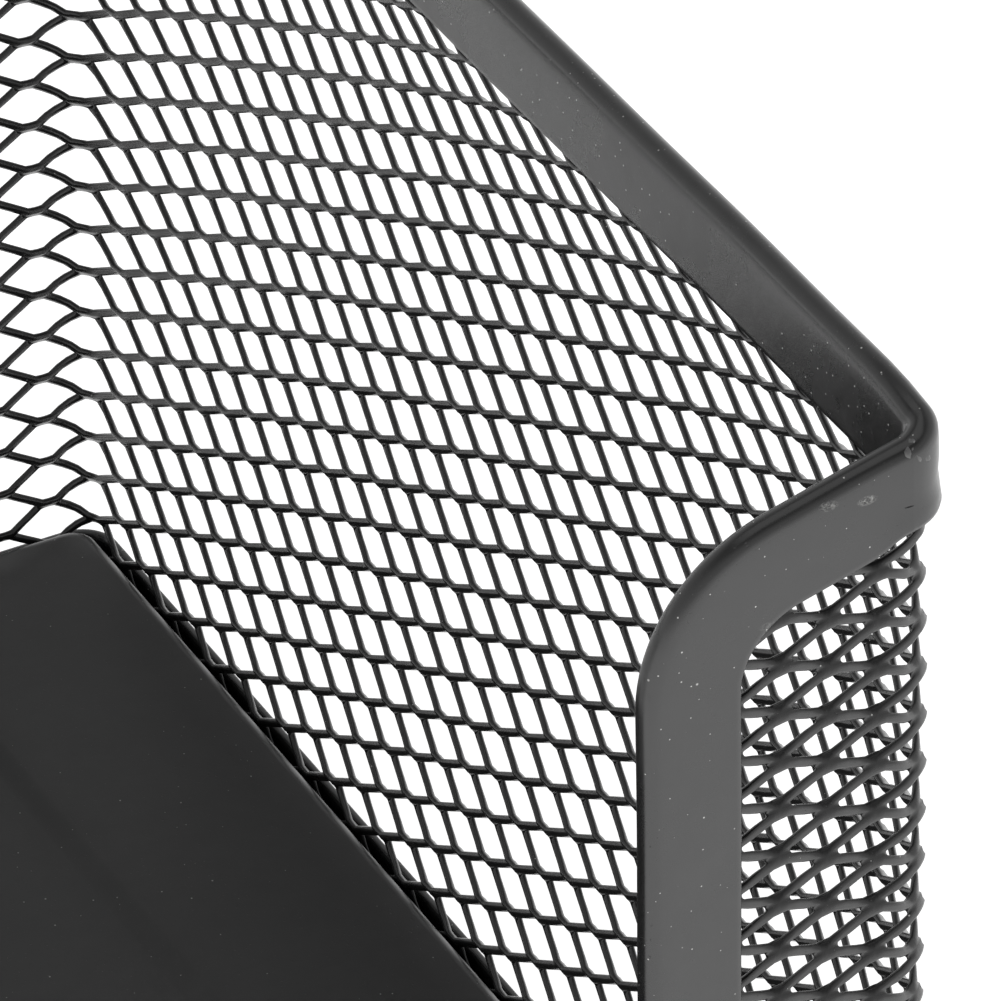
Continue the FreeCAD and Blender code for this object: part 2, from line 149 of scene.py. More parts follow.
def make_object(name, points, faces, material, node, slot):
    """A visible piece in place of a CAD node. faces is an array of quads or a list of faces of any length."""
    mesh = bpy.data.meshes.new(name)
    points = np.asarray(points, np.float32) * MM
    if isinstance(faces, np.ndarray):
        count, width = faces.shape
        mesh.vertices.add(len(points))
        mesh.vertices.foreach_set("co", points.ravel())
        mesh.loops.add(count * width)
        mesh.loops.foreach_set("vertex_index", faces.astype(np.int32).ravel())
        mesh.polygons.add(count)
        mesh.polygons.foreach_set("loop_start", np.arange(0, count * width, width, dtype=np.int32))
        mesh.polygons.foreach_set("loop_total", np.full(count, width, np.int32))
        mesh.update(calc_edges=True)
    else:
        mesh.from_pydata(points.tolist(), [], faces)
    mesh.validate()
    mesh.polygons.foreach_set("use_smooth", np.ones(len(mesh.polygons), bool))
    sharpen_caps(mesh)
    mesh.materials.append(material)
    made = bpy.data.objects.new(name, mesh)
    bpy.context.scene.collection.objects.link(made)
    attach(made, "root")
    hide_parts(node)
    return made


# ---------------------------------------------------------------- materials


class Nodes:
    """A short way to lay out a material's nodes."""

    def __init__(self, name):
        self.material = bpy.data.materials.new(name)
        self.material.use_nodes = True
        self.tree = self.material.node_tree
        self.tree.nodes.clear()
        self.coords = self.tree.nodes.new("ShaderNodeTexCoord").outputs["Object"]

    def add(self, kind, inputs=(), **settings):
        node = self.tree.nodes.new(kind)
        for key, value in settings.items():
            setattr(node, key, value)
        for key, value in dict(inputs).items():
            if isinstance(value, bpy.types.NodeSocket):
                self.tree.links.new(value, node.inputs[key])
            else:
                node.inputs[key].default_value = value
        return node

    def noise(self, scale, detail, rough=0.55):
        inputs = {"Vector": self.coords, "Scale": scale, "Detail": detail, "Roughness": rough}
        return self.add("ShaderNodeTexNoise", inputs).outputs["Fac"]

    def spread(self, value, low, high, to_low=0.0, to_high=1.0):
        inputs = {"Value": value, "From Min": low, "From Max": high, "To Min": to_low, "To Max": to_high}
        return self.add("ShaderNodeMapRange", inputs).outputs["Result"]

    def math(self, operation, a, b):
        return self.add("ShaderNodeMath", {0: a, 1: b}, operation=operation).outputs["Value"]

    def blend(self, factor, a, b):
        node = self.add("ShaderNodeMix", data_type="RGBA")
        self.tree.links.new(factor, node.inputs["Factor"])
        for socket, value in ((node.inputs[6], a), (node.inputs[7], b)):
            if isinstance(value, bpy.types.NodeSocket):
                self.tree.links.new(value, socket)
            else:
                socket.default_value = (*value, 1.0)
        return node.outputs[2]

    def specks(self, scale, radius, share):
        """1 inside tiny grains scattered at random, 0 elsewhere. share is how many places hold one."""
        places = {"Vector": self.coords, "Scale": scale, "Randomness": 1.0}
        voronoi = self.add("ShaderNodeTexVoronoi", places)
        pick = self.add("ShaderNodeSeparateColor", {"Color": voronoi.outputs["Color"]})
        chosen = self.spread(pick.outputs["Red"], 1 - share, 1.0, 0.35, 1.0)
        present = self.math("GREATER_THAN", pick.outputs["Red"], 1 - share)
        reach = self.math("MULTIPLY", chosen, radius * scale * MM)
        ratio = self.math("DIVIDE", voronoi.outputs["Distance"], reach)
        inside = self.spread(ratio, 1.0, 0.4)
        return self.math("MULTIPLY", inside, present)

    def bump(self, height, distance, strength=1.0, normal=None):
        inputs = {"Height": height, "Distance": distance * MM, "Strength": strength}
        if normal is not None:
            inputs["Normal"] = normal
        return self.add("ShaderNodeBump", inputs).outputs["Normal"]

    def finish(self, color, roughness, normal, **sockets):
        inputs = {"Base Color": color, "Roughness": roughness, "Normal": normal}
        shader = self.add("ShaderNodeBsdfPrincipled", inputs)
        for key, value in sockets.items():
            shader.inputs[key.replace("_", " ")].default_value = value
        self.add("ShaderNodeOutputMaterial", {"Surface": shader.outputs["BSDF"]})
        return self.material


DUST = (0.72, 0.72, 0.70)
# Painted highlight: the pale grey that the painted reflections beside the right front corner are blended
# towards.
PAINTED_HIGHLIGHT_GREY = (0.30, 0.30, 0.29)
# The colour of the small dark spots there.
DARK_SPOT_BLACK = (0.004, 0.004, 0.004)


def paint(name, black, worn, rough, rough_swing, peel, dust, grains, lint=0.0, marks=()):
    """Satin black paint over steel: orange peel, uneven gloss, settled dust and a little lint. The noises'
    scales are per metre. marks are painted light beside the right front corner: pale painted highlights, and
    small dark spots where a strength is below 0."""
    n = Nodes(name)
    clouds = n.spread(n.noise(55.0, 4.0), 0.3, 0.7)
    mottle = n.spread(n.noise(420.0, 5.0, 0.6), 0.35, 0.7)
    color = n.blend(n.math("MULTIPLY", clouds, mottle), black, worn)
    film = n.spread(n.noise(240.0, 6.0, 0.7), 0.56, 0.78, 0.0, 0.35)
    color = n.blend(film, color, [c * 1.6 for c in worn])
    flecks = n.specks(1700.0, 0.066, grains)
    if lint:
        flecks = n.math("MAXIMUM", flecks, n.specks(420.0, 0.13, lint))
    pits = n.spread(n.noise(5200.0, 2.0), 0.70, 0.76)
    color = n.blend(n.math("MULTIPLY", flecks, dust), color, DUST)
    gloss = n.spread(n.noise(130.0, 5.0, 0.65), 0.3, 0.7, rough - rough_swing, rough + rough_swing)
    gloss = n.math("ADD", gloss, n.math("MULTIPLY", film, 0.18))
    normal = n.bump(n.noise(650.0, 2.0, 0.4), peel)
    normal = n.bump(n.noise(3800.0, 3.0, 0.6), peel * 0.22, normal=normal)
    normal = n.bump(n.math("SUBTRACT", flecks, pits), 0.02, 0.8, normal)
    # Painted highlights beside the right front corner, and dark spots, laid over the paint.
    for mark in marks:
        color, gloss, normal = add_highlight_or_dark_spot(n, color, gloss, normal, *mark)
    return n.finish(color, gloss, normal, IOR=1.5, Specular_IOR_Level=1.0)


def add_highlight_or_dark_spot(n, color, gloss, normal, place, reach, strength):
    """A place made pale by its strength as a painted highlight, or a small dark spot pressed in a little if
    the strength is below 0.
    """
    centre = [p * MM for p in place]
    shrink = [1 / (r * MM) for r in reach]
    away = n.add("ShaderNodeVectorMath", {0: n.coords, 1: centre}, operation="SUBTRACT")
    squash = n.add("ShaderNodeVectorMath", {0: away.outputs[0], 1: shrink}, operation="MULTIPLY")
    length = n.add("ShaderNodeVectorMath", {0: squash.outputs[0]}, operation="LENGTH")
    spot_mask = n.spread(length.outputs["Value"], 1.0, 0.35)
    if strength < 0:
        return n.blend(spot_mask, color, DARK_SPOT_BLACK), n.math("ADD", gloss, spot_mask), n.bump(spot_mask, -0.12, 1.0, normal)
    # Painted highlight: paled towards a light grey through a fine grain, a little rougher and pressed in a
    # little.
    painted_highlight = n.math("MULTIPLY", spot_mask, n.spread(n.noise(5200.0, 3.0, 0.7), 0.42, 0.6))
    painted_highlight = n.math("MULTIPLY", painted_highlight, strength)
    gloss = n.math("ADD", gloss, n.math("MULTIPLY", painted_highlight, 0.2))
    return n.blend(painted_highlight, color, PAINTED_HIGHLIGHT_GREY), gloss, n.bump(painted_highlight, -0.05, 1.0, normal)


# Painted light on the front channel beside the right corner: pale painted highlights, and a dark spot where
# the strength is below 0. Each one's place, reach and strength.
PAINTED_CORNER_LIGHTS = (
    ((42.9, -50.2, 68.75), (0.6, 0.6, 0.3), 0.9),
    ((45.05, -50.2, 68.4), (0.6, 0.6, 0.3), 1.3),
    ((47.38, -50.2, 67.3), (0.28, 0.6, 0.05), -1.0),
    ((39.5, -50.2, 62.8), (0.6, 0.6, 0.3), 0.35),
)
BLACK, BLACK_WORN = (0.008, 0.008, 0.0082), (0.015, 0.015, 0.015)
PAN_BLACK, PAN_WORN = (0.012, 0.012, 0.0122), (0.020, 0.020, 0.020)
WELD_GREY, WELD_PALE = (0.07, 0.07, 0.07), (0.22, 0.22, 0.22)

mesh_paint = paint("mesh_paint", BLACK, BLACK_WORN, rough=0.26, rough_swing=0.05, peel=0.020,
                   dust=0.8, grains=0.2)
rim_paint = paint("rim_paint", BLACK, BLACK_WORN, rough=0.27, rough_swing=0.05, peel=0.014,
                  dust=1.0, grains=0.9, lint=0.3, marks=PAINTED_CORNER_LIGHTS)
pan_paint = paint("pan_paint", PAN_BLACK, PAN_WORN, rough=0.40, rough_swing=0.05, peel=0.010,
                  dust=0.6, grains=0.3, lint=0.1)
weld_paint = paint("weld_paint", WELD_GREY, WELD_PALE, rough=0.38, rough_swing=0.10, peel=0.120,
                   dust=1.0, grains=1.0)


# ---------------------------------------------------------------- folded channels


def channel_profile(leg, flare=0.0, crown=0.05):
    """A closed U section as (depth from the ridge, distance from the middle plane), outer side positive.
    crown is how much the sides draw in towards the ridge. flare turns the outer leg's edge out, with a hollow
    above it."""
    inside = FOLD - SHEET
    steps = 14
    side = [(depth, FOLD - crown * math.exp(-(depth - FOLD) / 0.8))
            for depth in (leg - 0.12, *(leg * share for share in RIM_STATIONS), FOLD + 0.35)]
    points = []
    for depth, away in side:
        bulge = flare * hump(depth, leg * 0.9, 0.55) - 0.35 * flare * hump(depth, leg * 0.66, 0.5)
        points.append((depth, away + bulge))
    for i in range(steps + 1):
        angle = math.pi * i / steps
        points.append((FOLD - FOLD * math.sin(angle), (FOLD - crown) * math.cos(angle)))
    for depth, away in side[::-1]:
        points.append((depth, -away))
    # The cut edge of the inner leg, the inside of the U, and the cut edge of the outer leg.
    points += [(leg - 0.03, -FOLD + 0.06), (leg, -FOLD + 0.16), (leg, -inside - 0.12), (leg - 0.08, -inside)]
    for depth in (leg * 0.8, leg * 0.5, FOLD):
        points.append((depth, -inside))
    for i in range(1, 6):
        angle = math.pi * i / 6
        points.append((FOLD - inside * math.sin(angle), -inside * math.cos(angle)))
    for depth in (FOLD, leg * 0.5, leg * 0.8, leg - 0.08):
        points.append((depth, inside))
    points += [(leg, inside + 0.12), (leg, FOLD - 0.16), (leg - 0.03, FOLD - 0.06)]
    return np.array(points)


def sweep(sections, closed=False):
    """Quads between rows of points of equal length, with a cap on each end unless the run is a ring."""
    rows, width = sections.shape[:2]
    index = np.arange(rows * width).reshape(rows, width)
    if closed:
        index = np.vstack([index, index[:1]])
    first, second = index[:-1], index[1:]
    quads = np.stack([first, np.roll(first, -1, 1), np.roll(second, -1, 1), second], -1).reshape(-1, 4)
    faces = quads.tolist()
    points = sections.reshape(-1, 3)
    if not closed:
        faces += [index[0].tolist()[::-1], index[-1].tolist()]
    return points, outward(points, faces)


def front_run():
    """The free edge of the right half of the front wall, from the corner to the middle of the lip, as
    (x, z, way into the metal x, way into the metal z)."""
    centre_x = JAMB_X + SHOULDER
    tangent_x = centre_x - SHOULDER * math.sin(SLOPE)
    flat_x = MID_X - BEND
    tangent_z = CORNER_TOP - (flat_x - tangent_x) * math.tan(SLOPE)
    centre_z = tangent_z - SHOULDER * math.cos(SLOPE)
    run = []
    for t in np.linspace(0, 1, 18)[:-1]:
        x = flat_x + (tangent_x - flat_x) * t
        z = CORNER_TOP - (flat_x - x) * math.tan(SLOPE)
        lean = float(smooth((flat_x - x) / UPRIGHT_LENGTH))
        run.append((x, z, math.sin(SLOPE) * lean, -math.cos(SLOPE * lean)))
    for a in np.linspace(math.pi / 2 + SLOPE, math.pi, 26)[:-1]:
        x, z = centre_x + SHOULDER * math.cos(a), centre_z + SHOULDER * math.sin(a)
        run.append((x, z, -math.cos(a), -math.sin(a)))
    lip_top = LIP_Z + LIP_RADIUS
    for z in np.linspace(centre_z, lip_top, 20)[:-1]:
        run.append((JAMB_X, z, 1.0, 0.0))
    lip_x = JAMB_X - LIP_RADIUS
    for a in np.linspace(0, math.pi / 2, 22)[:-1]:
        x, z = lip_x + LIP_RADIUS * math.cos(a), lip_top - LIP_RADIUS * math.sin(a)
        run.append((x, z, math.cos(a), -math.sin(a)))
    for x in np.linspace(lip_x, 0, 12):
        run.append((x, LIP_Z, 0.0, -1.0))
    run = np.array(run)
    run[:, 2:] /= np.linalg.norm(run[:, 2:], axis=1)[:, None]
    return run


FRONT = front_run()


def corner_section(to_joint, to_bend):
    """The section at some distance from a front corner's butt joint and from its bend, as depths, distances
    from the middle plane, and how far the bend pushes the points outwards."""
    at_bend = hump(to_bend, 0, CORNER_REACH)
    section = channel_profile(LEG - CORNER_SHORT * hump(to_joint, 0, CORNER_REACH), CORNER_FLARE * at_bend)
    depth, away = section.T
    return depth, away, CORNER_FULL * at_bend * np.clip(away / FOLD, 0, 1)


def rim_front():
    halves = []
    for sign in (1, -1):
        half = []
        length = 0.0
        previous = FRONT[0, :2]
        for x, z, into_x, into_z in FRONT:
            length += float(np.linalg.norm([x - previous[0], z - previous[1]]))
            previous = (x, z)
            ease = float(smooth(length / 6))
            depth, away, full = corner_section(length, length + JOINT_TO_BEND)
            depth = depth + float(waver(length, 6, 0.03)) * ease
            away = away + float(waver(length, 5, 0.035)) * ease + full
            half.append(np.stack([sign * (x + into_x * depth), -(MID_Y + away), z + into_z * depth], -1))
        halves.append(half)
    rows = halves[0] + halves[1][::-1][1:]
    return make_object("front_channel", *sweep(np.array(rows)), rim_paint, "rim_front", "rim_coat")


def corner_dip(along):
    """How far the ridge of the side channel is below its full height, by the distance from the butt joint."""
    return np.clip(1 - along / DIP_LENGTH, 0, 1) ** DIP_POWER * (TOP_Z - CORNER_TOP)


def side_run():
    """The ridge of the right half of the side and back channel, from the front corner to the middle of the
    back, as (x, y, outward x, outward y, ridge height, distance from the butt joint)."""
    centre_x, centre_y = MID_X - BEND, MID_Y - BEND
    half = []
    for a in np.linspace(-math.pi / 2, 0, 13)[:-1]:
        out_x, out_y = math.cos(a), math.sin(a)
        half.append((centre_x + BEND * out_x, -centre_y + BEND * out_y, out_x, out_y))
    for y in np.linspace(-centre_y, centre_y, 56)[:-1]:
        half.append((MID_X, y, 1.0, 0.0))
    for a in np.linspace(0, math.pi / 2, 13)[:-1]:
        out_x, out_y = math.cos(a), math.sin(a)
        half.append((centre_x + BEND * out_x, centre_y + BEND * out_y, out_x, out_y))
    for x in np.linspace(centre_x, 0, 28):
        half.append((x, MID_Y, 0.0, 1.0))
    half = np.array(half)
    steps = np.linalg.norm(np.diff(half[:, :2], axis=0), axis=1)
    along = np.concatenate([[0], np.cumsum(steps)])
    return np.column_stack([half, TOP_Z - corner_dip(along), along])


SIDE = side_run()


def rim_sides_back():
    halves = []
    for sign, seed in ((1, 11), (-1, 12)):
        half = []
        for x, y, out_x, out_y, ridge, along in SIDE:
            ease = float(smooth(along / 8))
            depth, away, full = corner_section(along, along - JOINT_TO_BEND)
            pinch = PINCH * hump(along, BEND * math.pi / 4, PINCH_REACH)
            away = away * np.where(away < 0, 1 - pinch, 1) + full
            away = away + float(waver(along, seed, 0.05)) * ease
            height = ridge - depth + float(waver(along, seed + 2, 0.03)) * ease - 0.03 * ease
            half.append(np.stack([sign * (x + out_x * away), y + out_y * away, height], -1))
        halves.append(half)
    rows = halves[0] + halves[1][::-1][1:]
    return make_object("side_back_channel", *sweep(np.array(rows)), rim_paint, "rim_sides_back", "rim_coat")


def ring_path(half_x, half_y, bend, straight, corner):
    """A closed rounded rectangle, anticlockwise from the front right corner, as (x, y, outward x, outward y),
    with so many steps on each straight side and on each corner."""
    spots = []
    inner_x, inner_y = half_x - bend, half_y - bend
    centres = ((inner_x, -inner_y), (inner_x, inner_y), (-inner_x, inner_y), (-inner_x, -inner_y))
    for quarter, (cx, cy) in enumerate(centres):
        start = (quarter - 1) * math.pi / 2
        for a in np.linspace(start, start + math.pi / 2, corner + 1):
            spots.append((cx + bend * math.cos(a), cy + bend * math.sin(a), math.cos(a), math.sin(a)))
        run = 2 * (inner_y if quarter % 2 == 0 else inner_x)
        ahead = (-math.sin(start + math.pi / 2), math.cos(start + math.pi / 2))
        x, y, nx, ny = spots[-1]
        for t in np.linspace(0, 1, straight + 1)[1:-1]:
            spots.append((x + ahead[0] * run * t, y + ahead[1] * run * t, nx, ny))
    return np.array(spots)


def bottom_channel():
    """The channel round the foot, upside down: its fold is on the table."""
    spots = ring_path(RING_HIGH[0] - FOLD, RING_HIGH[1] - FOLD, BEND, 44, 12)
    section = channel_profile(RING_HIGH[2], crown=0.03)
    rows = []
    for i, (x, y, nx, ny) in enumerate(spots):
        on_straight = abs(nx * ny) < 1e-9
        away = section[:, 1] + float(waver(i * 2.1, 21, 0.02)) * on_straight
        rows.append(np.stack([x + nx * away, y + ny * away, section[:, 0]], -1))
    points, faces = sweep(np.array(rows), closed=True)
    return make_object("bottom_channel", points, faces, rim_paint, "bottom_rim", "rim_coat")


# ---------------------------------------------------------------- expanded mesh


def wall_point(s):
    """The strip's middle surface at a distance s from the middle of the front wall, and the way out of it."""
    u = np.abs(s)
    flat_x, flat_y, arc = MID_X - MESH_BEND, MID_Y - MESH_BEND, MESH_BEND * math.pi / 2
    ends = np.cumsum([flat_x, arc, 2 * flat_y, arc])
    first = np.clip((u - ends[0]) / MESH_BEND, 0, math.pi / 2)
    second = np.clip((u - ends[2]) / MESH_BEND, 0, math.pi / 2)
    turn = first + second - math.pi / 2
    nx, ny = np.cos(turn), np.sin(turn)
    side = np.clip(u - ends[1], 0, 2 * flat_y)
    x = np.clip(u, 0, flat_x) - np.clip(u - ends[3], 0, None)
    y = -flat_y + side
    x = x + MESH_BEND * nx
    y = y + MESH_BEND * ny
    sign = np.where(s < 0, -1.0, 1.0)
    return x * sign, y, nx * sign, ny


def bow(s, z):
    """How far the walls swell outwards between their stiff edges: the right side is bent out the most."""
    x, y, nx, ny = wall_point(s)
    up = np.interp(z, SWELL_Z, SWELL)
    along_y = np.clip(1 - (np.abs(y) / STIFF_Y) ** 6, 0, 1)
    along_x = np.clip(1 - (np.abs(x) / STIFF_X) ** 5, 0, 1)
    right = np.clip(nx, 0, 1) ** 4 * along_y
    left = np.clip(-nx, 0, 1) ** 4 * along_y
    back = np.clip(ny, 0, 1) ** 4 * along_x
    below_lip = np.clip((LIP_Z - 2.0 - z) / 6.0, 0, 1)
    low_front = np.clip(-ny, 0, 1) ** 4 * along_x * below_lip
    return up * (right + SWELL_LEFT * left + SWELL_BACK * back + SWELL_FRONT * low_front)


def notch_depth(x, z):
    """For points on the front wall: the distance from its free edge into the metal, and the way in."""
    spots = FRONT[:, :2]
    start, step = spots[:-1], np.diff(spots, axis=0)
    best = np.full(len(x), 1e9)
    way = np.zeros((len(x), 2))
    point = np.stack([np.abs(x), z], -1)
    for origin, run in zip(start, step):
        rel = point - origin
        t = np.clip(rel @ run / (run @ run), 0, 1)
        gap = rel - t[:, None] * run
        distance = np.linalg.norm(gap, axis=1)
        inward = np.array([-run[1], run[0]]) / np.linalg.norm(run)
        sign = np.where(gap @ inward >= 0, 1.0, -1.0)
        closer = distance < np.abs(best)
        best = np.where(closer, distance * sign, best)
        way = np.where(closer[:, None], inward, way)
    way[:, 0] *= np.where(x < 0, -1, 1)
    return best, way


def mesh_cells():
    """The openings, without those cut away by the notch: each one's place in half cells and in millimetres,
    along the strip and up the wall."""
    lap = 1.5                                   # each end of the strip runs on past the middle of the back
    lowest, highest, edge = 4.0, 68.6, 2.1      # heights of the middles of openings, and their least depth
    low_k = math.floor((-HALF_STRIP - lap - ANCHOR_S) / CELL_S)
    high_k = math.ceil((HALF_STRIP + lap - ANCHOR_S) / CELL_S)
    cells = []
    for k in range(low_k, high_k + 1):
        for j in range(-60, 60):
            cells.append((k, k + 2 * j, ANCHOR_S + k * CELL_S, ANCHOR_Z + CELL_Z * (k + 2 * j)))
    cells = np.array(cells)
    s, z = cells[:, 2], cells[:, 3]
    keep = (np.abs(s) < HALF_STRIP + lap + 0.1) & (z > lowest) & (z < highest)
    front = np.abs(s) < MID_X - 0.5
    depth, _ = notch_depth(s[front], z[front])
    keep[front] &= depth > edge
    return cells[keep]


def opening_ring():
    """One opening's edge and the middle lines of the strands round it, as the points of a ring: how far each
    is along its strand from the lower bond to the upper, its place on the line between bonds (in half cells),
    and its place on the opening's edge."""
    steps = np.array([0, 0.07, BOND_END, 0.383, 0.617, 1 - BOND_END, 0.93])
    side_angle = math.atan2(CELL_S, CELL_Z)
    inner_u, inner_v = OPEN_U - OPEN_ROUND, OPEN_V - OPEN_ROUND
    along, middle, edge = [], [], []
    for quarter in range(4):
        for step in steps:
            rise = step if quarter % 2 == 0 else 1 - step
            mark = np.array([1 - rise, rise])
            # Round the corner at the side, straight along the strand, round the corner at the bond.
            angle = side_angle * min(1.0, rise / BOND_END)
            if rise > 1 - BOND_END:
                angle += (math.pi / 2 - side_angle) * (rise - 1 + BOND_END) / BOND_END
            share = np.clip((rise - BOND_END) / (1 - 2 * BOND_END), 0, 1)
            flat = OPEN_FLAT * min(1.0, (1 - rise) / BOND_END)
            spot = np.array([inner_u + (flat - inner_u) * share, inner_v * share])
            spot += OPEN_ROUND * np.array([math.cos(angle), math.sin(angle)])
            flip = np.array([1 if quarter in (0, 3) else -1, 1 if quarter in (0, 1) else -1])
            along.append(rise if quarter < 2 else 1 - rise)
            middle.append(mark * flip)
            edge.append(spot * flip)
    return np.array(along), np.array(middle), np.array(edge)


def mesh_ring():
    """The surface round one opening: rings of points from the outer face's middle line through the
    opening's edge to the inner face's middle line, as places along, up and out of the wall."""
    along, middle, edge = opening_ring()
    in_strand = smooth((along - 0.05) / 0.2) * smooth((0.95 - along) / 0.2)
    line = middle * np.array([CELL_S, CELL_Z])
    # The way across the strand, upwards, and the slope of the sheet there.
    lean = np.sign(middle[:, 0] * middle[:, 1])
    across = np.stack([lean * CELL_Z * in_strand, np.full(len(along), CELL_S)], -1)
    across /= np.linalg.norm(across, axis=1)[:, None]
    tilt = BOND_TILT + (STRAND_TILT - BOND_TILT) * in_strand
    sway = np.interp(along, (0, BOND_END, 1 - BOND_END, 1), (0, -1, 1, 0))
    line[:, 1] += STRAND_DROP * sway
    away = edge - line
    edge_out = STRAND_SWAY * sway - np.tan(tilt) * (away * across).sum(1)
    # Round a strand's section, a rectangle with full corners, from one face to the other.
    layers = np.radians([0, 38, 70, 90, 110, 142, 180])
    fullness = 0.7
    width = np.abs(np.sin(layers)) ** fullness
    width[[0, -1]] = 0
    thick = np.sign(np.cos(layers)) * np.abs(np.cos(layers)) ** fullness * MESH_SHEET / 2
    thick[3] = 0
    plan = line[:, None] + away[:, None] * width[None, :, None]
    plan = plan + across[:, None] * (np.sin(tilt)[:, None] * thick)[..., None]
    centre_out = STRAND_SWAY * sway
    out = centre_out[:, None] + (edge_out - centre_out)[:, None] * width + np.cos(tilt)[:, None] * thick
    return middle, plan[..., 0], plan[..., 1], out


def mesh_faces(cells, middle, layer_count):
    """Faces of all the openings' rings, joined along the strands' middle lines, with the free edges closed.
    Gives the places in the rings that are kept as points, and the faces between them."""
    count, around = len(cells), len(middle)
    grid = np.arange(count * around * layer_count).reshape(count, around, layer_count)
    marks = np.round((cells[:, None, :2] + middle[None]) * 1000).astype(np.int64)
    flat_marks = marks.reshape(-1, 2)
    _, first, which = np.unique(flat_marks, axis=0, return_index=True, return_inverse=True)
    shared = first[which.reshape(-1)].reshape(count, around)
    for layer in (0, layer_count - 1):
        grid[..., layer] = shared * layer_count + layer
    after = np.roll(grid, -1, axis=1)
    quads = [np.stack([grid[..., b], after[..., b], after[..., b + 1], grid[..., b + 1]], -1).reshape(-1, 4)
             for b in range(layer_count - 1)]
    halfway = (marks + np.roll(marks, -1, axis=1)).reshape(-1, 2)
    _, which, uses = np.unique(halfway, axis=0, return_inverse=True, return_counts=True)
    free = (uses[which.reshape(-1)] == 1).reshape(count, around)
    quads.append(np.stack([grid[..., -1], after[..., -1], after[..., 0], grid[..., 0]], -1)[free])
    quads = np.concatenate(quads)
    used, faces = np.unique(quads, return_inverse=True)
    return used, faces.reshape(quads.shape)


def mesh_wrap():
    cells = mesh_cells()
    middle, ring_s, ring_z, ring_out = mesh_ring()
    used, quads = mesh_faces(cells, middle, ring_s.shape[1])
    s = (cells[:, 2, None, None] + ring_s).reshape(-1)[used]
    z = (cells[:, 3, None, None] + ring_z).reshape(-1)[used]
    out = np.broadcast_to(ring_out, (len(cells), *ring_out.shape)).reshape(-1)[used]
    # A slight unevenness of the whole sheet, and the short strips beside the notch pulled a little askew.
    s = s + 0.05 * np.sin(z / 3.7 + s / 9.0)
    z = z + 0.05 * np.sin(s / 5.3 + 1.0) * np.cos(z / 8.0)
    pull_from, pull_width, pull_height = 46.3, 8.5, 15.0
    pull = np.clip(pull_from - np.abs(s), 0, pull_width) * smooth((z - LIP_Z) / pull_height)
    s = s + np.sign(s) * 0.09 * pull
    z = z - 0.145 * pull

    # Hidden ends inside the channels are gathered onto a line within them.
    front = np.abs(s) < MID_X - MESH_BEND
    depth, way = notch_depth(s[front], z[front])
    short = np.clip(MESH_HIDDEN - depth, 0, None)
    s[front] += way[:, 0] * short
    z[front] += way[:, 1] * short
    along = np.clip(np.abs(s) - (MID_X - BEND), 0, None)
    top = TOP_Z - corner_dip(along) - MESH_HIDDEN
    z = np.clip(z, MESH_LOW, np.where(front, TOP_Z, top))

    # The sheet is squeezed flat between the channels' legs.
    above = np.minimum(top + MESH_HIDDEN - z - LEG, z - RING_HIGH[2])
    above[front] = np.minimum(above[front], depth - LEG)
    out = out * (0.45 + 0.55 * smooth((above + 0.6) / 1.2))

    # The walls swell, and at the back the right end of the strip laps over the left one.
    x, y, nx, ny = wall_point(s)
    lap = np.clip((np.abs(s) - (HALF_STRIP - 6.0)) / 4.0, 0, 1)
    away = out + bow(s, z) + np.where(s > 0, 0.3, -0.3) * smooth(lap)
    points = np.stack([x + nx * away, y + ny * away, z], -1)
    return make_object("expanded_mesh", points, quads, mesh_paint, "mesh_wrap", "mesh_coat")


# ---------------------------------------------------------------- floor pan


def floor_pan():
    """A pressed tray upside down: a flat floor with a square panel sunk into it and a flange turned down."""
    top, low = PAN_HIGH[2], PAN_LOW[2]
    half_x, half_y = PAN_HIGH[0], PAN_HIGH[1]
    sheet, edge = 0.7, 0.9                      # edge: outside radius of the flange's bend
    panel, sunk = 33.5, 0.4                     # the panel's half side and depth
    margin = half_x - panel

    def loop(inset, z, radius):
        ring = ring_path(half_x - inset, half_y - inset, radius, 16, 6)
        return np.column_stack([ring[:, :2], np.full(len(ring), z)])

    # Inset from the flange's outside, height, corner radius.
    loops = [(0.12, low, 1.2), (0.0, low + 0.12, 1.3), (0.0, low + 1.5, 1.3), (0.0, top - edge, 1.3)]
    for i in range(1, 7):
        a = math.pi / 2 * i / 6
        loops.append((edge * (1 - math.cos(a)), top - edge + edge * math.sin(a), 1.3))
    loops += [(3.0, top, 1.6), (6.0, top, 2.0), (margin - 2.5, top, 2.4)]
    for t in np.linspace(0, 1, 8):
        loops.append((margin - 0.8 + 1.6 * t, top - sunk * float(smooth(t)), 2.4))
    for inset in np.linspace(margin + 3, half_x - 3.5, 8):
        loops.append((inset, top - sunk, 2.4))
    upper = [loop(*spot) for spot in loops]
    lower = []
    for inset, z, radius in loops:
        if inset < edge:
            inset += sheet * math.cos(math.pi / 2 * (inset / edge))
        on_floor = z > top - edge - 0.01 and inset >= edge
        height = z - sheet if on_floor else min(z, top - sheet)
        lower.append(loop(max(inset, sheet), height, radius - 0.5))
    rows = np.array(lower[::-1] + upper)

    # The pressed floor is a little uneven.
    spots = rows.reshape(-1, 3)
    away = np.hypot(spots[:, 0], spots[:, 1])
    uneven = 0.03 * np.sin(spots[:, 0] / 9.0 + 1.0) * np.cos(spots[:, 1] / 11.0)
    spots[:, 2] += np.where(spots[:, 2] > top - 1.4, uneven, 0) * np.clip(1 - away / 60, 0, 1)
    return make_object("floor_pan", *sweep(rows), pan_paint, "base_pan", "pan_coat")


# ---------------------------------------------------------------- welds


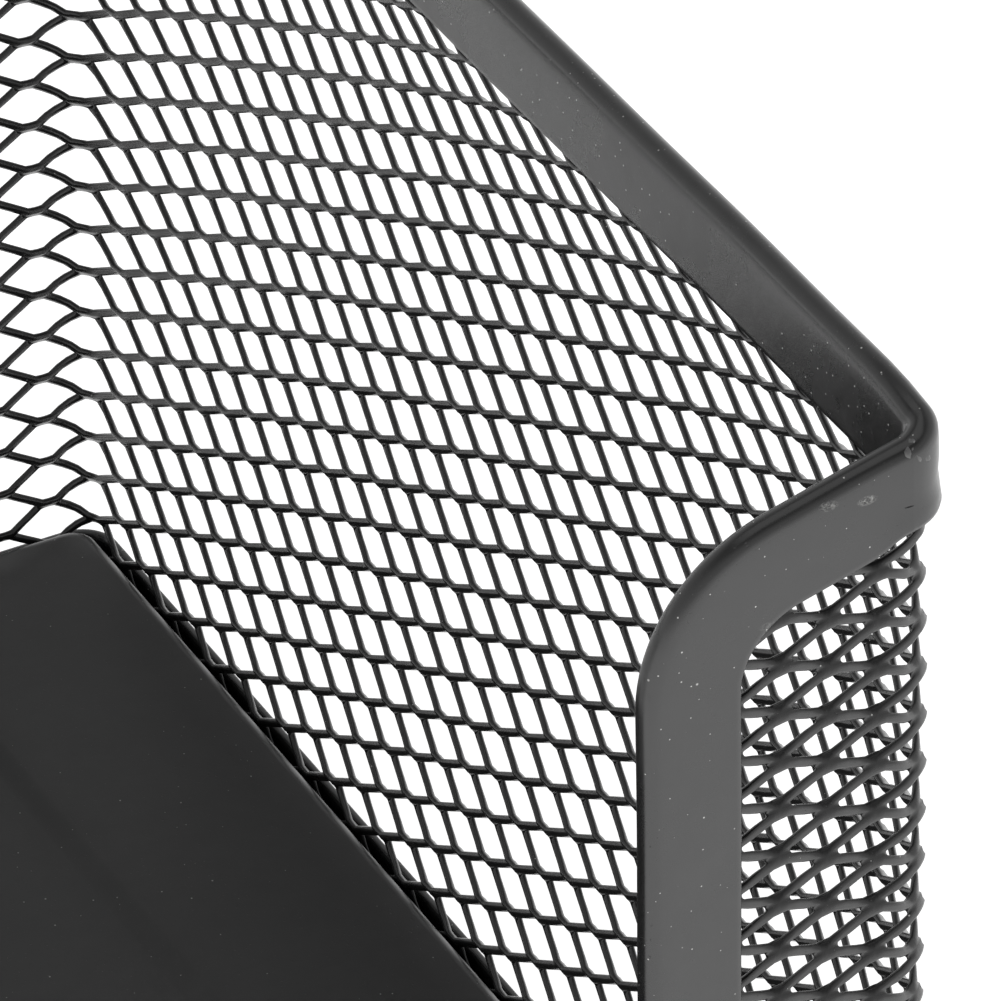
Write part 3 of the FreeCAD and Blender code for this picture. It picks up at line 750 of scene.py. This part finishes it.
def blob(centre, axes, seed, rough=0.2, rings=10, segments=16):
    """A closed lump with an uneven skin. axes are three vectors, one for each half size."""
    rng = np.random.default_rng(seed)
    waves = rng.normal(size=(6, 3)) * 2.2
    phases = rng.uniform(0, 2 * math.pi, 6)
    points, faces = [], []
    for i in range(rings + 1):
        lat = math.pi * i / rings
        for j in range(segments if 0 < i < rings else 1):
            lon = 2 * math.pi * j / segments
            d = np.array([math.sin(lat) * math.cos(lon), math.sin(lat) * math.sin(lon), math.cos(lat)])
            grow = 1 + rough * float(np.sin(waves @ d + phases).sum()) / 3
            points.append(np.asarray(centre) + grow * (d[0] * axes[0] + d[1] * axes[1] + d[2] * axes[2]))
    last = len(points) - 1
    for j in range(segments):
        nxt = (j + 1) % segments
        faces.append([0, 1 + j, 1 + nxt])
        base = 1 + (rings - 2) * segments
        faces.append([last, base + nxt, base + j])
        for i in range(rings - 2):
            a = 1 + i * segments
            faces.append([a + j, a + segments + j, a + segments + nxt, a + nxt])
    return points, outward(points, faces)


def joined(parts):
    points, faces = [], []
    for more_points, more_faces in parts:
        base = len(points)
        points += list(more_points)
        faces += [[base + i for i in face] for face in more_faces]
    return np.array(points), faces


def rim_welds():
    """The rough weld on each front corner: a low lump with small ones spread over it in a spiral."""
    parts = []
    for sign, seed in ((1, 3), (-1, 8)):
        middle = np.array([sign * 48.08, -49.78, 70.22])
        out = np.array([sign * 0.3, -0.8, 0.52])
        out /= np.linalg.norm(out)
        side = np.cross(out, [0, 0, 1.0])
        side /= np.linalg.norm(side)
        up = np.cross(side, out)
        parts.append(blob(middle, (side * 0.5, up * 0.58, out * 0.15), seed, 0.5, rings=16, segments=26))
        for i in range(12):
            reach = 0.4 + 0.055 * i
            place = side * 0.38 * math.cos(i * 2.4) * reach + up * 0.46 * math.sin(i * 2.4) * reach
            size = 0.10 + 0.03 * (i % 3)
            axes = (side * size, up * size, out * 0.11)
            parts.append(blob(middle + place + out * 0.06, axes, seed + 1 + i, 0.4))
    return make_object("rim_weld_lumps", *joined(parts), weld_paint, "rim_weld_beads", "weld_coat")


def pan_welds():
    """Two runs of weld under each side of the floor, each a row of lumps that overlap."""
    parts = []
    flange = PAN_LOW[2]
    for quarter in range(4):
        turn = quarter * math.pi / 2
        reach = PAN_HIGH[0] if quarter % 2 == 0 else PAN_HIGH[1]
        out = np.array([math.cos(turn), math.sin(turn), 0])
        run = np.array([-math.sin(turn), math.cos(turn), 0])
        axes = (run * 0.85, out * 0.3, np.array([0, 0, 0.34]))
        for place in (-24.0, 24.0):
            for i in range(7):
                along = place - 3.3 + 1.1 * i
                middle = out * (reach - 0.26) + run * along + np.array([0, 0, flange - 0.2])
                parts.append(blob(middle, axes, 40 + quarter * 20 + i, 0.12, rings=7, segments=12))
    return make_object("pan_weld_runs", *joined(parts), weld_paint, "pan_weld_beads", "weld_coat")


def seam_welds():
    """Spot welds up the lap of the strip, in the middle of the back."""
    parts = []
    low, high = node_box("mesh_seam_welds")
    axes = (np.array([0.75, 0, 0]), np.array([0, 0, 0.6]), np.array([0, -0.62, 0]))
    for i, z in enumerate(np.linspace(low[2] + 0.6, high[2] - 0.6, 7)):
        swell = float(bow(np.array([HALF_STRIP - 0.1]), np.array([z]))[0])
        middle = np.array([0.25 * math.sin(i * 2.1), MID_Y + swell - 0.25, z])
        parts.append(blob(middle, axes, 90 + i, 0.12, rings=9, segments=16))
    return make_object("mesh_seam_spots", *joined(parts), weld_paint, "mesh_seam_welds", "weld_coat")


rim_front()
rim_sides_back()
bottom_channel()
mesh_wrap()
floor_pan()
rim_welds()
pan_welds()
seam_welds()

# ---------------------------------------------------------------- floor, light and camera


def studio():
    scene = bpy.context.scene
    scene.view_settings.view_transform = "Standard"
    bpy.ops.mesh.primitive_plane_add(size=6.0, location=(0, 0, -0.0001))
    floor = bpy.context.object
    floor.name = "studio_floor"
    pale = bpy.data.materials.new("pale_floor")
    pale.use_nodes = True
    shader = pale.node_tree.nodes["Principled BSDF"]
    shader.inputs["Base Color"].default_value = (0.86, 0.86, 0.86, 1)
    shader.inputs["Roughness"].default_value = 0.9
    shader.inputs["Emission Color"].default_value = (1, 1, 1, 1)
    shader.inputs["Emission Strength"].default_value = 0.85
    floor.data.materials.append(pale)

    world = bpy.data.worlds.new("soft_studio")
    scene.world = world
    world.use_nodes = True
    tree = world.node_tree
    coords = tree.nodes.new("ShaderNodeTexCoord")
    split = tree.nodes.new("ShaderNodeSeparateXYZ")
    ramp = tree.nodes.new("ShaderNodeValToRGB")
    tree.links.new(coords.outputs["Generated"], split.inputs[0])
    tree.links.new(split.outputs["Z"], ramp.inputs["Fac"])
    tree.links.new(ramp.outputs["Color"], tree.nodes["Background"].inputs["Color"])
    # Height in the sky and its brightness: white at the horizon, dim overhead.
    stops = ((0.0, 1.0), (0.12, 1.0), (0.34, 0.55), (0.62, 0.5), (0.88, 0.12), (1.0, 0.12))
    elements = ramp.color_ramp.elements
    while len(elements) < len(stops):
        elements.new(0.5)
    for element, (place, level) in zip(elements, stops):
        element.position = place
        element.color = (level, level, level, 1)
    tree.nodes["Background"].inputs["Strength"].default_value = 1.0

    lamp = bpy.data.lights.new("soft_overhead", "AREA")
    lamp.energy, lamp.size = 2.2, 1.2
    above = bpy.data.objects.new("soft_overhead", lamp)
    above.location = (0.1, 0.1, 1.5)
    scene.collection.objects.link(above)


def camera():
    """The photograph's viewing angle, through a long lens. Azimuth 0 looks along +Y."""
    azimuth, elevation, roll = (math.radians(a) for a in (27.55, 34.82, -0.97))
    sensor, focal_px, image_px = 36.0, 10000, 1001
    place = (-0.15633, -0.39742, 0.34771)       # metres
    forward = Vector((
        math.sin(azimuth) * math.cos(elevation),
        math.cos(azimuth) * math.cos(elevation),
        -math.sin(elevation),
    ))
    level = Vector((math.cos(azimuth), -math.sin(azimuth), 0))
    upright = level.cross(forward)
    right = level * math.cos(roll) + upright * math.sin(roll)
    up = upright * math.cos(roll) - level * math.sin(roll)
    data = bpy.data.cameras.new("camera")
    data.sensor_width = sensor
    data.lens = sensor * focal_px / image_px
    data.clip_start, data.clip_end = 0.01, 20.0
    made = bpy.data.objects.new("camera", data)
    turn = Matrix((right, up, -forward)).transposed().to_4x4()
    made.matrix_world = Matrix.Translation(place) @ turn
    bpy.context.scene.collection.objects.link(made)
    bpy.context.scene.camera = made


studio()
camera()
